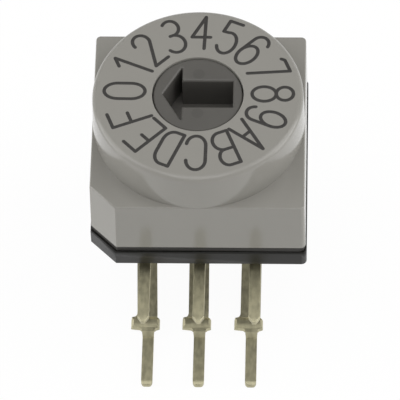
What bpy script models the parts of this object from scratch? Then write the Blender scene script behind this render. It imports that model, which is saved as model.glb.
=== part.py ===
"""Rotary dip switch, right-angle type, sixteen positions.

The housing frame has its origin on the rotor's axis at the back face of the base, with +Z out of the
dial and -Y towards the circuit board. Everything is parented to an empty that puts the world origin on
the middle of the face that seats on the board.
"""

import math

import bmesh
import bpy
from mathutils import Matrix, Vector

MM = 0.001
FULL_TURN = 2 * math.pi

# Clearances
SEAT_GAP = 0.02 * MM          # between pieces that are pressed or laid together
SLOT_GAP = 0.03 * MM          # round a terminal in its slot
RUN_GAP = 0.05 * MM           # round the rotor's neck
OVERCUT = 0.20 * MM           # how far a cutter runs past the face it opens

# Base
BASE_SIDE = 10.0 * MM
BASE_THICK = 0.86 * MM
BASE_CORNER = 0.24 * MM
KEY_CHAMFER = 1.20 * MM       # the cut corner that keys the housing
BASE_EDGE = 0.06 * MM

# Joint seal, squeezed between base and cover
SEAL_THICK = 0.34 * MM
SEAL_INSET = 0.09 * MM        # how far its edge lies behind the base's

# Cover
COVER_INSET = 0.05 * MM       # how far its foot lies behind the base's edge
COVER_DRAFT = 0.05 * MM       # how far each side leans in on its way up
COVER_HEIGHT = 3.06 * MM
COVER_CORNER = 0.22 * MM
COVER_EDGE = 0.07 * MM
COLLAR_INSET = 0.04 * MM      # how far the dial lies behind the cover's top edge
COLLAR_WALL = 0.76 * MM
COLLAR_HEIGHT = 2.11 * MM
COLLAR_FILLET = 0.26 * MM
ROOF_THICK = 1.26 * MM
BORE_RADIUS = 2.09 * MM
BORE_LEAD = 0.05 * MM         # small break on the bore's mouth
LIP_THICK = 0.56 * MM         # what holds the O-ring in from above

# Detent
POSITIONS = 16
NOTCH_DEPTH = 0.14 * MM
NOTCH_RADIUS = 0.50 * MM
BALL_RADIUS = 0.44 * MM
BALL_GAP = 0.03 * MM          # to the crests between the notches
SPRING_WIRE = 0.16 * MM
SPRING_RADIUS = 0.28 * MM     # to the middle of the wire
SPRING_TURNS = 10
CROSS_BORE_HEIGHT = 3.75 * MM

# Rotor
ROTOR_RECESS = 0.07 * MM      # its top below the dial
DRUM_GAP = 0.18 * MM          # between drum and cavity
DRUM_FOOT = 2.36 * MM
DRUM_EDGE = 0.15 * MM
NECK_EDGE = 0.05 * MM
THRUST_GAP = 0.04 * MM
ARROW_LENGTH = 3.20 * MM
ARROW_HEAD_LENGTH = 0.86 * MM
ARROW_HEAD_WIDTH = 3.00 * MM
ARROW_STEM_WIDTH = 1.44 * MM
ARROW_DEPTH = 1.80 * MM
ARROW_SET = 0.08 * MM         # how far it stands off the axis, away from the board
MARK_PLACE = (0.10 * MM, 1.10 * MM)
MARK_RADIUS = 0.26 * MM
MARK_DEPTH = 0.03 * MM

# O-ring on the rotor's neck
ORING_POCKET = 0.64 * MM      # how much wider the pocket in the cover is than the bore

# Pivot and pegs on the base
PIVOT_RADIUS = 0.55 * MM
PIVOT_DEPTH = 0.80 * MM       # into the rotor
THRUST_RADIUS = 0.82 * MM
PEG_RADIUS = 0.35 * MM
PEG_HEIGHT = 0.90 * MM
PEG_INSET = 0.88 * MM         # from both sides of the base
PEG_EDGE = 0.05 * MM

# Code disc and contacts
DISC_THICK = 0.10 * MM
DISC_BORE = 0.95 * MM
DISC_MARGIN = 0.20 * MM       # drum left bare round the disc
TRACK_MARGIN = 0.37 * MM      # from the disc's rim to the middle of its outer track
COMMON_MARGIN = 0.35 * MM     # from the disc's bore to the middle of the common track
BITS = 4
TRACK_LAND = 0.17 * MM        # left standing between two coded tracks
WINDOW_MARGIN = 3.0           # degrees left standing at each end of a window
FINGER_THICK = 0.08 * MM
FINGER_WIDTH = 0.42 * MM
FINGER_FOOT = 0.40 * MM
FINGER_NOSE = 0.16 * MM       # length that lies along the disc
FINGER_TAIL = 0.18 * MM
FINGER_BEND = 0.12 * MM
FINGER_HEEL = 0.25 * MM       # how far out on the pad the foot starts
FINGER_OFFSET = 0.60 * MM     # of the outer contact points from the middle line

# Terminals
PITCH = 2.54 * MM
ROW_INSET = 1.19 * MM         # from the base's side to the middle of a leg
ROW_SPACING = 5.08 * MM       # rows on the board
SHEET = 0.25 * MM
PIN_WIDTH = 0.53 * MM
PAD_WIDTH = 1.05 * MM
PAD_REACH = 1.01 * MM         # from the leg in to the pad's end
NECK_RUN = 0.12 * MM          # where the pad narrows to the leg
TIGHT_BEND = 0.25 * MM        # to the middle of the sheet
UPPER_BEND = 0.38 * MM
LOWER_BEND = 0.60 * MM
UPPER_TOP = -0.82 * MM        # upper face of the upper pins
UPPER_REACH = 2.66 * MM       # past the board face
POINT_LENGTH = 0.28 * MM
POINT_WIDTH = 0.15 * MM
STRIP_WIDTH = 0.95 * MM
JOGGLE = 0.27 * MM            # from the wide strip down to the lower pin
JOGGLE_RUN = 0.17 * MM
SHOULDER_WIDTH = 1.36 * MM
SHOULDER_LENGTH = 0.57 * MM
SHOULDER_ASIDE = -0.08 * MM   # from the strip's middle to the shoulder's
SHOULDER_BACK = 0.15 * MM     # between the shoulder and the board
SHOULDER_FLARE = 0.28 * MM
ROOT_WIDTH = 0.88 * MM        # where the lower pin leaves the shoulder
ROOT_RUN = 0.30 * MM
PIN_ASIDE = 0.06 * MM         # from the strip's middle to the pin's
LOWER_REACH = 2.87 * MM
BLUNT_LENGTH = 0.26 * MM
BLUNT_WIDTH = 0.18 * MM
SHEET_EDGE = 0.035 * MM
COINED_EDGE = 0.13 * MM       # bevel struck on the shoulder's ends
# How far each one stands to the right of its place: pins, shoulders, and the feet of the lower legs
UPPER_SET = (0.03 * MM, 0.03 * MM, 0.07 * MM)
LOWER_SET = (-0.02 * MM, -0.135 * MM, -0.22 * MM)
FOOT_SET = (-0.28 * MM, -0.22 * MM, -0.19 * MM)

# Facets
ROUND_PROFILE = 0.5           # a bevel of this profile is an arc
CORNER_STEPS = 4
ROUND = 96
SMALL_ROUND = 24
ORING_ROUND = 32
ORING_STEPS = 9
RIM_STEPS = 5
BEND_STEPS = 4
FLARE_STEPS = 3
BLUNT_STEPS = 3
WINDOW_STEPS = 3              # along one position
SPRING_POINTS = 8             # in one turn

# Sides, radii and levels worked out from the sizes above
HALF_BASE = BASE_SIDE / 2
COVER_FOOT_SIDE = BASE_SIDE - 2 * COVER_INSET
COVER_TOP_SIDE = COVER_FOOT_SIDE - 2 * COVER_DRAFT
COLLAR_RADIUS = COVER_TOP_SIDE / 2 - COLLAR_INSET
CAVITY_RADIUS = COLLAR_RADIUS - COLLAR_WALL
DRUM_RADIUS = CAVITY_RADIUS - DRUM_GAP
DISC_RADIUS = DRUM_RADIUS - DISC_MARGIN
COMMON_TRACK = DISC_BORE + COMMON_MARGIN
TRACK_PITCH = (DISC_RADIUS - TRACK_MARGIN - COMMON_TRACK) / BITS
TRACKS = [COMMON_TRACK + TRACK_PITCH * step for step in range(1, BITS + 1)]
TRACK_WIDTH = TRACK_PITCH - TRACK_LAND
ORING_SEAT = BORE_RADIUS + ORING_POCKET
SEAL_TOP = BASE_THICK + SEAT_GAP + SEAL_THICK
COVER_FOOT = SEAL_TOP + SEAT_GAP
COVER_TOP = COVER_FOOT + COVER_HEIGHT
DIAL_TOP = COVER_TOP + COLLAR_HEIGHT
CEILING = DIAL_TOP - ROOF_THICK
LIP_FOOT = DIAL_TOP - LIP_THICK
ROTOR_TOP = DIAL_TOP - ROTOR_RECESS
NECK_RADIUS = BORE_RADIUS - RUN_GAP
DRUM_TOP = CEILING - THRUST_GAP
BALL_PLACE = CAVITY_RADIUS - BALL_GAP - BALL_RADIUS
NOTCH_PLACE = CAVITY_RADIUS + NOTCH_DEPTH - NOTCH_RADIUS
DISC_TOP = DRUM_FOOT - SEAT_GAP
DISC_FOOT = DISC_TOP - DISC_THICK
HUB_RADIUS = DISC_BORE - SEAT_GAP
THRUST_TOP = DISC_FOOT - THRUST_GAP
PIVOT_HOLE_TOP = DISC_FOOT + PIVOT_DEPTH
NOTCH_TOP = CROSS_BORE_HEIGHT + BALL_RADIUS + OVERCUT
PEG_PLACE = HALF_BASE - PEG_INSET
PEGS = [(PEG_PLACE, PEG_PLACE), (-PEG_PLACE, PEG_PLACE), (PEG_PLACE, -PEG_PLACE)]
ROW_HALF = HALF_BASE - ROW_INSET
PAD_END = ROW_HALF - PAD_REACH
PAD_TOP = BASE_THICK - SEAT_GAP
PAD_MIDDLE = PAD_TOP - SHEET / 2
BOARD_FACE = -HALF_BASE
SHOULDER_END = BOARD_FACE + SHOULDER_BACK
UPPER_MIDDLE = UPPER_TOP - SHEET / 2
LOWER_PIN_MIDDLE = UPPER_MIDDLE - ROW_SPACING
STRIP_MIDDLE = LOWER_PIN_MIDDLE + JOGGLE

LIGHT_GREY = (0.30, 0.29, 0.29, 1)
DARK_GREY = (0.07, 0.066, 0.058, 1)
ROTOR_GREY = (0.13, 0.125, 0.117, 1)
BLACK = (0.01, 0.01, 0.01, 1)
TIN = (0.42, 0.40, 0.35, 1)
GOLD = (0.75, 0.53, 0.22, 1)
STEEL = (0.45, 0.45, 0.45, 1)


def clear_scene():
    for obj in list(bpy.data.objects):
        bpy.data.objects.remove(obj, do_unlink=True)


def make_collection(name):
    collection = bpy.data.collections.new(name)
    bpy.context.scene.collection.children.link(collection)
    return collection


def make_material(name, colour, roughness, metallic=0.0):
    material = bpy.data.materials.new(name)
    material.use_nodes = True
    shader = material.node_tree.nodes["Principled BSDF"]
    shader.inputs["Base Color"].default_value = colour
    shader.inputs["Roughness"].default_value = roughness
    shader.inputs["Metallic"].default_value = metallic
    return material


class Bench:
    """What every piece is made with: its collections, its frame and its materials."""

    def __init__(self):
        self.parts = make_collection("rotary_dip_switch")
        self.cutters = make_collection("cutters")
        self.frame = bpy.data.objects.new("housing_frame", None)
        self.frame.location = (0, HALF_BASE, -BASE_THICK / 2)
        self.parts.objects.link(self.frame)
        self.cover_plastic = make_material("cover_plastic", LIGHT_GREY, 0.55)
        self.base_plastic = make_material("base_plastic", DARK_GREY, 0.6)
        self.rotor_plastic = make_material("rotor_plastic", ROTOR_GREY, 0.6)
        self.black_rubber = make_material("black_rubber", BLACK, 0.8)
        self.tin_plate = make_material("tin_plate", TIN, 0.4, 1.0)
        self.gold_plate = make_material("gold_plate", GOLD, 0.3, 1.0)
        self.spring_steel = make_material("spring_steel", STEEL, 0.3, 1.0)

    def place(self, name, data, collection):
        obj = bpy.data.objects.new(name, data)
        obj.parent = self.frame
        collection.objects.link(obj)
        return obj

    def part(self, name, data, material):
        """A sub-part, with its material and smooth round faces."""
        obj = self.place(name, data, self.parts)
        data.materials.append(material)
        if isinstance(data, bpy.types.Mesh):
            data.shade_smooth()
            data.set_sharp_from_angle(angle=math.radians(35))
        return obj

    def tool(self, name, data):
        """A cutter or a boss, which a Boolean uses and the model leaves out."""
        obj = self.place(name, data, self.cutters)
        obj.hide_render = True
        obj.display_type = "WIRE"
        return obj


def combine(target, tool, operation="DIFFERENCE"):
    modifier = target.modifiers.new(tool.name, "BOOLEAN")
    modifier.operation = operation
    modifier.solver = "EXACT"
    modifier.object = tool


def to_mesh(name, bm):
    """Turn a bmesh into a mesh whose faces point out."""
    bmesh.ops.recalc_face_normals(bm, faces=bm.faces)
    mesh = bpy.data.meshes.new(name)
    bm.to_mesh(mesh)
    bm.free()
    return mesh


def corner_edges(bm, keyed):
    """A block's upright edges: those at the keyed corner, or all the others."""
    upright = [e for e in bm.edges if abs(e.verts[0].co.z - e.verts[1].co.z) > SEAT_GAP]
    return [e for e in upright if (e.verts[0].co.x < 0 and e.verts[0].co.y < 0) == keyed]


def keyed_block(name, side, foot, top, corner, chamfer, edge=0.0, top_side=None):
    """A square block with one cut corner, rounded corners, a broken top edge and draft."""
    bm = bmesh.new()
    bmesh.ops.create_cube(bm, size=1)
    bmesh.ops.scale(bm, verts=bm.verts, vec=(side, side, top - foot))
    bmesh.ops.translate(bm, verts=bm.verts, vec=(0, 0, (top + foot) / 2))
    if top_side:
        upper = [v for v in bm.verts if v.co.z > (top + foot) / 2]
        bmesh.ops.scale(bm, verts=upper, vec=(top_side / side, top_side / side, 1))
    bmesh.ops.bevel(bm, geom=corner_edges(bm, True), offset=chamfer, segments=1, affect="EDGES")
    bmesh.ops.bevel(bm, geom=corner_edges(bm, False), offset=corner, segments=CORNER_STEPS,
                    profile=ROUND_PROFILE, affect="EDGES")
    if edge:
        rim = [e for e in bm.edges if min(e.verts[0].co.z, e.verts[1].co.z) > top - SEAT_GAP]
        bmesh.ops.bevel(bm, geom=rim, offset=edge, segments=2, profile=ROUND_PROFILE, affect="EDGES")
    return to_mesh(name, bm)


def boxes(name, places):
    """Separate boxes in one mesh, each given by its size and centre."""
    bm = bmesh.new()
    for size, centre in places:
        made = bmesh.ops.create_cube(bm, size=1)["verts"]
        bmesh.ops.scale(bm, verts=made, vec=size)
        bmesh.ops.translate(bm, verts=made, vec=centre)
    return to_mesh(name, bm)


def rods(name, places, radius, foot, top, segments=SMALL_ROUND, edge=0.0):
    """Separate upright cylinders in one mesh, with broken top edges."""
    bm = bmesh.new()
    for x, y in places:
        bmesh.ops.create_cone(bm, cap_ends=True, segments=segments, radius1=radius, radius2=radius,
                              depth=top - foot, matrix=Matrix.Translation((x, y, (foot + top) / 2)))
    if edge:
        rim = [e for e in bm.edges if min(e.verts[0].co.z, e.verts[1].co.z) > top - SEAT_GAP]
        bmesh.ops.bevel(bm, geom=rim, offset=edge, segments=1, affect="EDGES")
    return to_mesh(name, bm)


def profile_mesh(name, profile, closed=False):
    """An (r, z) outline in the XZ plane, its outer side listed from top to bottom."""
    bm = bmesh.new()
    verts = [bm.verts.new((r, 0, z)) for r, z in profile]
    for first, second in zip(verts, verts[1:]):
        bm.edges.new((first, second))
    if closed:
        bm.edges.new((verts[-1], verts[0]))
    mesh = bpy.data.meshes.new(name)
    bm.to_mesh(mesh)
    bm.free()
    return mesh


def spin(obj, segments=ROUND):
    screw = obj.modifiers.new("spin", "SCREW")
    screw.axis = "Z"
    screw.angle = FULL_TURN
    screw.steps = segments
    screw.render_steps = segments
    screw.use_smooth_shade = True
    screw.use_merge_vertices = True
    screw.merge_threshold = 0.0001 * MM
    return obj


def prism(name, outlines, foot, top):
    """Flat outlines as one filled 2D curve, inner ones as holes, made a mesh."""
    curve = bpy.data.curves.new(name, "CURVE")
    curve.dimensions = "2D"
    curve.fill_mode = "BOTH"
    curve.extrude = (top - foot) / 2
    for outline in outlines:
        spline = curve.splines.new("POLY")
        spline.points.add(len(outline) - 1)
        for point, (x, y) in zip(spline.points, outline):
            point.co = (x, y, 0, 1)
        spline.use_cyclic_u = True
    source = bpy.data.objects.new(name + "_outline", curve)
    bpy.context.scene.collection.objects.link(source)
    depsgraph = bpy.context.evaluated_depsgraph_get()
    mesh = bpy.data.meshes.new_from_object(source.evaluated_get(depsgraph))
    bpy.data.objects.remove(source, do_unlink=True)
    bm = bmesh.new()
    bm.from_mesh(mesh)
    bmesh.ops.remove_doubles(bm, verts=bm.verts, dist=0.0001 * MM)
    bmesh.ops.translate(bm, verts=bm.verts, vec=(0, 0, (top + foot) / 2))
    return to_mesh(name, bm)


def arc(centre, radius, start, end, steps):
    """Points of an arc in a plane, from one angle to another in degrees."""
    angles = [math.radians(start + (end - start) * i / steps) for i in range(steps + 1)]
    return [(centre[0] + radius * math.cos(a), centre[1] + radius * math.sin(a)) for a in angles]


def bent_path(corners, radii, steps=BEND_STEPS):
    """Round the inner corners of a polyline in a plane, each with its own radius."""
    points = [corners[0]]
    for before, corner, after, radius in zip(corners, corners[1:], corners[2:], radii):
        corner = Vector(corner)
        back = (Vector(before) - corner).normalized()
        ahead = (Vector(after) - corner).normalized()
        opening = back.angle(ahead)
        centre = corner + (back + ahead).normalized() * radius / math.sin(opening / 2)
        spoke = corner + back * radius / math.tan(opening / 2) - centre
        turn = math.copysign(math.pi - opening, back.cross(spoke))
        for i in range(steps + 1):
            points.append(tuple(centre + Matrix.Rotation(turn * i / steps, 2) @ spoke))
    points.append(corners[-1])
    return points


def flare(narrow_place, narrow, wide_place, wide, steps=FLARE_STEPS):
    """A concave fillet in a strip's outline, as (place along the strip, width) pairs."""
    pairs = []
    for i in range(steps + 1):
        angle = math.pi / 2 * i / steps
        pairs.append((narrow_place + (wide_place - narrow_place) * math.sin(angle),
                      narrow + (wide - narrow) * (1 - math.cos(angle))))
    return pairs


def strip(bench, name, stations, across, thickness, edge, material):
    """A bent blank: each station is a point on the middle of the sheet and the blank's width there."""
    bm = bmesh.new()
    rows = [(bm.verts.new(middle - across * width / 2), bm.verts.new(middle + across * width / 2))
            for middle, width in stations]
    for (left, right), (next_left, next_right) in zip(rows, rows[1:]):
        bm.faces.new((left, right, next_right, next_left))
    obj = bench.part(name, to_mesh(name, bm), material)
    sheet = obj.modifiers.new("sheet", "SOLIDIFY")
    sheet.thickness = thickness
    sheet.offset = 0
    sheet.use_even_offset = True
    if edge:
        rim = obj.modifiers.new("edge", "BEVEL")
        rim.width = edge
        rim.segments = 1
        rim.limit_method = "ANGLE"
        rim.angle_limit = math.radians(60)
    return obj


def make_base(bench):
    """Moulded base: pegs for the cover, pivot for the rotor, a slot and a pocket for each terminal."""
    base = bench.part("base", keyed_block("base", BASE_SIDE, 0, BASE_THICK, BASE_CORNER, KEY_CHAMFER,
                                          BASE_EDGE), bench.base_plastic)
    pegs = rods("pegs", PEGS, PEG_RADIUS, BASE_THICK - OVERCUT, BASE_THICK + PEG_HEIGHT, edge=PEG_EDGE)
    combine(base, bench.tool("pegs", pegs), "UNION")
    pivot_radius_end = PIVOT_RADIUS - PEG_EDGE
    pivot_top = PIVOT_HOLE_TOP - THRUST_GAP
    pivot = bench.tool("pivot_post", profile_mesh("pivot_post", [
        (0, pivot_top),
        (pivot_radius_end, pivot_top),
        (PIVOT_RADIUS, pivot_top - PEG_EDGE),
        (PIVOT_RADIUS, THRUST_TOP),
        (THRUST_RADIUS, THRUST_TOP),
        (THRUST_RADIUS, BASE_THICK - OVERCUT),
        (0, BASE_THICK - OVERCUT),
    ]))
    combine(base, spin(pivot, 2 * SMALL_ROUND), "UNION")

    inner = PAD_END - SLOT_GAP
    outer = ROW_HALF + SHEET / 2 + SLOT_GAP
    bend = ROW_HALF - TIGHT_BEND - SLOT_GAP
    pad_floor = PAD_TOP - SHEET - SEAT_GAP
    bend_floor = PAD_MIDDLE - TIGHT_BEND - SEAT_GAP
    above = BASE_THICK + OVERCUT
    pockets, reliefs, slots = [], [], []
    for side, leg_width in ((-1, PIN_WIDTH), (1, STRIP_WIDTH)):
        for x in (-PITCH, 0, PITCH):
            pockets.append(((PAD_WIDTH + 2 * SLOT_GAP, outer - inner, above - pad_floor),
                            (x, side * (outer + inner) / 2, (above + pad_floor) / 2)))
            reliefs.append(((leg_width + 4 * SLOT_GAP, ROW_HALF - bend, above - bend_floor),
                            (x, side * (ROW_HALF + bend) / 2, (above + bend_floor) / 2)))
            slots.append(((leg_width + 2 * SLOT_GAP, SHEET + 2 * SLOT_GAP, BASE_THICK),
                          (x, side * ROW_HALF, BASE_THICK / 2 - OVERCUT)))
    combine(base, bench.tool("pad_pockets", boxes("pad_pockets", pockets)))
    combine(base, bench.tool("bend_reliefs", boxes("bend_reliefs", reliefs)))
    combine(base, bench.tool("leg_slots", boxes("leg_slots", slots)))


def make_joint_seal(bench):
    seal = keyed_block("joint_seal", BASE_SIDE - 2 * SEAL_INSET, BASE_THICK + SEAT_GAP, SEAL_TOP,
                       BASE_CORNER, KEY_CHAMFER)
    seal = bench.part("joint_seal", seal, bench.black_rubber)
    below = BASE_THICK - OVERCUT
    above = SEAL_TOP + OVERCUT
    window = rods("seal_window", [(0, 0)], CAVITY_RADIUS + NOTCH_DEPTH + SLOT_GAP, below, above, ROUND)
    combine(seal, bench.tool("seal_window", window))
    holes = rods("seal_peg_holes", PEGS, PEG_RADIUS + SLOT_GAP, below, above)
    combine(seal, bench.tool("seal_peg_holes", holes))
    inner = PAD_END - SLOT_GAP
    outer = ROW_HALF + SHEET / 2 + SLOT_GAP
    pads = [((PAD_WIDTH + 2 * SLOT_GAP, outer - inner, above - below),
             (x, side * (outer + inner) / 2, (above + below) / 2))
            for side in (-1, 1) for x in (-PITCH, 0, PITCH)]
    combine(seal, bench.tool("seal_pad_windows", boxes("seal_pad_windows", pads)))


def make_cover(bench):
    """Moulded cover: keyed block, round dial with a filleted rim, stepped bore, notched cavity."""
    block = keyed_block("cover", COVER_FOOT_SIDE, COVER_FOOT, COVER_TOP, COVER_CORNER, KEY_CHAMFER,
                        COVER_EDGE, COVER_TOP_SIDE)
    cover = bench.part("cover", block, bench.cover_plastic)
    rim_centre = (COLLAR_RADIUS - COLLAR_FILLET, DIAL_TOP - COLLAR_FILLET)
    collar = bench.tool("dial_collar", profile_mesh("dial_collar", [
        (0, DIAL_TOP),
        *arc(rim_centre, COLLAR_FILLET, 90, 0, RIM_STEPS),
        (COLLAR_RADIUS, COVER_TOP - OVERCUT),
        (0, COVER_TOP - OVERCUT),
    ]))
    combine(cover, spin(collar), "UNION")
    mouth = BORE_LEAD + OVERCUT
    below = COVER_FOOT - OVERCUT
    cavity = bench.tool("cavity", profile_mesh("cavity", [
        (0, DIAL_TOP + OVERCUT),
        (BORE_RADIUS + mouth, DIAL_TOP + OVERCUT),
        (BORE_RADIUS, DIAL_TOP - BORE_LEAD),
        (BORE_RADIUS, LIP_FOOT),
        (ORING_SEAT, LIP_FOOT),
        (ORING_SEAT, CEILING),
        (CAVITY_RADIUS, CEILING),
        (CAVITY_RADIUS, below),
        (0, below),
    ]))
    combine(cover, spin(cavity))
    steps = [FULL_TURN * i / POSITIONS for i in range(POSITIONS)]
    places = [(NOTCH_PLACE * math.cos(a), NOTCH_PLACE * math.sin(a)) for a in steps]
    notches = rods("detent_notches", places, NOTCH_RADIUS, below - OVERCUT, NOTCH_TOP)
    combine(cover, bench.tool("detent_notches", notches))
    peg_holes = rods("peg_holes", PEGS, PEG_RADIUS + SLOT_GAP, below, BASE_THICK + PEG_HEIGHT + SLOT_GAP)
    combine(cover, bench.tool("peg_holes", peg_holes))


def arrow_outline():
    """The driver slot in the rotor, an arrow that points to -X."""
    tip = -ARROW_LENGTH / 2
    head = tip + ARROW_HEAD_LENGTH
    outline = [
        (tip, 0),
        (head, -ARROW_HEAD_WIDTH / 2),
        (head, -ARROW_STEM_WIDTH / 2),
        (-tip, -ARROW_STEM_WIDTH / 2),
        (-tip, ARROW_STEM_WIDTH / 2),
        (head, ARROW_STEM_WIDTH / 2),
        (head, ARROW_HEAD_WIDTH / 2),
    ]
    return [(x, y + ARROW_SET) for x, y in outline]


def make_rotor(bench):
    """Turned form with an arrow slot on top, a cross bore for the detent and a hole for the pivot."""
    rotor = bench.part("rotor", profile_mesh("rotor", [
        (0, ROTOR_TOP),
        (NECK_RADIUS - NECK_EDGE, ROTOR_TOP),
        (NECK_RADIUS, ROTOR_TOP - NECK_EDGE),
        (NECK_RADIUS, DRUM_TOP),
        (DRUM_RADIUS - DRUM_EDGE, DRUM_TOP),
        (DRUM_RADIUS, DRUM_TOP - DRUM_EDGE),
        (DRUM_RADIUS, DRUM_FOOT),
        (HUB_RADIUS, DRUM_FOOT),
        (HUB_RADIUS, DISC_FOOT),
        (PIVOT_RADIUS + RUN_GAP, DISC_FOOT),
        (PIVOT_RADIUS + RUN_GAP, PIVOT_HOLE_TOP),
        (0, PIVOT_HOLE_TOP),
    ]), bench.rotor_plastic)
    spin(rotor)
    above = ROTOR_TOP + OVERCUT
    combine(rotor, bench.tool("arrow", prism("arrow", [arrow_outline()], ROTOR_TOP - ARROW_DEPTH, above)))
    mark = rods("ejector_mark", [MARK_PLACE], MARK_RADIUS, ROTOR_TOP - MARK_DEPTH, above)
    combine(rotor, bench.tool("ejector_mark", mark))
    bore = rods("cross_bore", [(0, 0)], BALL_RADIUS + SEAT_GAP, -DRUM_RADIUS - OVERCUT,
                DRUM_RADIUS + OVERCUT)
    bore = bench.tool("cross_bore", bore)
    bore.location = (0, 0, CROSS_BORE_HEIGHT)
    bore.rotation_euler = (0, math.pi / 2, 0)
    combine(rotor, bore)


def make_rotor_seal(bench):
    middle = ((NECK_RADIUS + ORING_SEAT) / 2, (CEILING + LIP_FOOT) / 2)
    radius = (ORING_SEAT - NECK_RADIUS) / 2 - SEAT_GAP
    section = arc(middle, radius, 90, -270, ORING_STEPS)[:-1]
    spin(bench.part("rotor_seal", profile_mesh("rotor_seal", section, closed=True), bench.black_rubber),
         ORING_ROUND)


def window_outline(track, first, last):
    """A window in one track of the code disc, between two positions, as a closed outline."""
    step = 360 / POSITIONS
    steps = WINDOW_STEPS * (last - first)
    start = first * step + WINDOW_MARGIN
    end = last * step - WINDOW_MARGIN
    outer = arc((0, 0), track + TRACK_WIDTH / 2, start, end, steps)
    return outer + arc((0, 0), track - TRACK_WIDTH / 2, end, start, steps)


def make_code_disc(bench):
    """Stamped disc: a plain common track, then a window wherever a bit of the code is off."""
    outlines = [arc((0, 0), DISC_RADIUS, 0, 360, ROUND)[:-1], arc((0, 0), DISC_BORE, 0, 360, ROUND)[:-1]]
    for bit, track in enumerate(TRACKS):
        run = 2 ** bit
        for first in range(0, POSITIONS, 2 * run):
            outlines.append(window_outline(track, first, first + run))
    bench.part("code_disc", prism("code_disc", outlines, DISC_FOOT, DISC_TOP), bench.gold_plate)


def make_detent(bench):
    """A coil spring in the rotor's cross bore pushes a ball out at each end."""
    for side, word in ((-1, "left"), (1, "right")):
        bm = bmesh.new()
        bmesh.ops.create_uvsphere(bm, u_segments=16, v_segments=10, radius=BALL_RADIUS)
        ball = bench.part("detent_ball_" + word, to_mesh("detent_ball_" + word, bm), bench.spring_steel)
        ball.location = (side * BALL_PLACE, 0, CROSS_BORE_HEIGHT)
    half = BALL_PLACE - BALL_RADIUS - SPRING_WIRE / 2 - SEAT_GAP
    count = SPRING_TURNS * SPRING_POINTS
    curve = bpy.data.curves.new("detent_spring", "CURVE")
    curve.dimensions = "3D"
    curve.bevel_depth = SPRING_WIRE / 2
    curve.bevel_resolution = 2
    curve.use_fill_caps = True
    coil = curve.splines.new("POLY")
    coil.points.add(count)
    for i, point in enumerate(coil.points):
        angle = FULL_TURN * i / SPRING_POINTS
        point.co = (half * (2 * i / count - 1), SPRING_RADIUS * math.cos(angle),
                    SPRING_RADIUS * math.sin(angle), 1)
    spring = bench.part("detent_spring", curve, bench.spring_steel)
    spring.location = (0, 0, CROSS_BORE_HEIGHT)


def make_terminal(bench, name, column, side, leg_width, pin_middle, bend, foot_set, pin_set, tail):
    """A stamped terminal: pad in the base, leg down through it, then a bend towards the board.

    tail lists (y, z, width, aside) from the end of that bend to the pin's tip. The leg leans over to
    foot_set on its way down, and what follows it swings over to pin_set on its way to the board.
    """
    neck = ROW_HALF - TIGHT_BEND - NECK_RUN
    stations = [
        (side * PAD_END, PAD_MIDDLE, PAD_WIDTH),
        (side * (neck - NECK_RUN), PAD_MIDDLE, PAD_WIDTH),
    ]
    path = bent_path([(side * neck, PAD_MIDDLE), (side * ROW_HALF, PAD_MIDDLE),
                      (side * ROW_HALF, pin_middle), tail[0][:2]], (TIGHT_BEND, bend))
    stations += [(y, z, leg_width) for y, z in path[:-1]]
    foot = side * ROW_HALF
    placed = []
    for y, z, width, aside in [(*station, 0) for station in stations] + tail:
        lean = min(max(z / pin_middle, 0), 1)
        swing = min(max((foot - y) / (foot - tail[0][0]), 0), 1)
        over = foot_set + (pin_set - foot_set) * swing
        placed.append((Vector((column * PITCH + over * lean + aside, y, z)), width))
    return strip(bench, name, placed, Vector((1, 0, 0)), SHEET, SHEET_EDGE, bench.tin_plate)


def coin_shoulder(bench, terminal, x):
    """Bevel the upper edges of a shoulder's two ends."""
    bm = bmesh.new()
    wedge = COINED_EDGE * math.sqrt(2)
    middle = SHOULDER_END + SHOULDER_LENGTH / 2
    for side in (-1, 1):
        made = bmesh.ops.create_cube(bm, size=1)["verts"]
        bmesh.ops.scale(bm, verts=made, vec=(wedge, SHOULDER_LENGTH + OVERCUT, wedge))
        bmesh.ops.rotate(bm, verts=made, cent=(0, 0, 0), matrix=Matrix.Rotation(math.pi / 4, 3, "Y"))
        bmesh.ops.translate(bm, verts=made, vec=(
            x + side * SHOULDER_WIDTH / 2, middle, STRIP_MIDDLE + SHEET / 2))
    name = terminal.name + "_coining"
    combine(terminal, bench.tool(name, to_mesh(name, bm)))
    terminal.modifiers.move(len(terminal.modifiers) - 1, len(terminal.modifiers) - 2)


def shoulder_and_pin():
    """The lower terminal past its bend: strip, flare, shoulder, root with a joggle, pin with a blunt end."""
    start = SHOULDER_END + SHOULDER_LENGTH
    inner = SHOULDER_WIDTH - 2 * COINED_EDGE - 2 * SEAT_GAP
    tail = [(y, STRIP_MIDDLE, width, SHOULDER_ASIDE * (width - STRIP_WIDTH) / (inner - STRIP_WIDTH))
            for y, width in flare(start + SHOULDER_FLARE, STRIP_WIDTH, start + SHEET_EDGE, inner)]
    tail += [
        (start, STRIP_MIDDLE, SHOULDER_WIDTH, SHOULDER_ASIDE),
        (SHOULDER_END + SHEET_EDGE, STRIP_MIDDLE, SHOULDER_WIDTH, SHOULDER_ASIDE),
    ]
    joggle_start = SHOULDER_END - ROOT_RUN + JOGGLE_RUN
    root = flare(SHOULDER_END - ROOT_RUN, PIN_WIDTH, SHOULDER_END, ROOT_WIDTH)
    for y, width in reversed(root):
        drop = JOGGLE * min(max((joggle_start - y) / JOGGLE_RUN, 0), 1)
        tail.append((y, STRIP_MIDDLE - drop, width, PIN_ASIDE))
    end = BOARD_FACE - LOWER_REACH
    for i in range(BLUNT_STEPS + 1):
        angle = math.pi / 2 * i / BLUNT_STEPS
        tail.append((end + BLUNT_LENGTH * (1 - math.sin(angle)), LOWER_PIN_MIDDLE,
                     BLUNT_WIDTH + (PIN_WIDTH - BLUNT_WIDTH) * math.cos(angle), PIN_ASIDE))
    return tail


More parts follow.
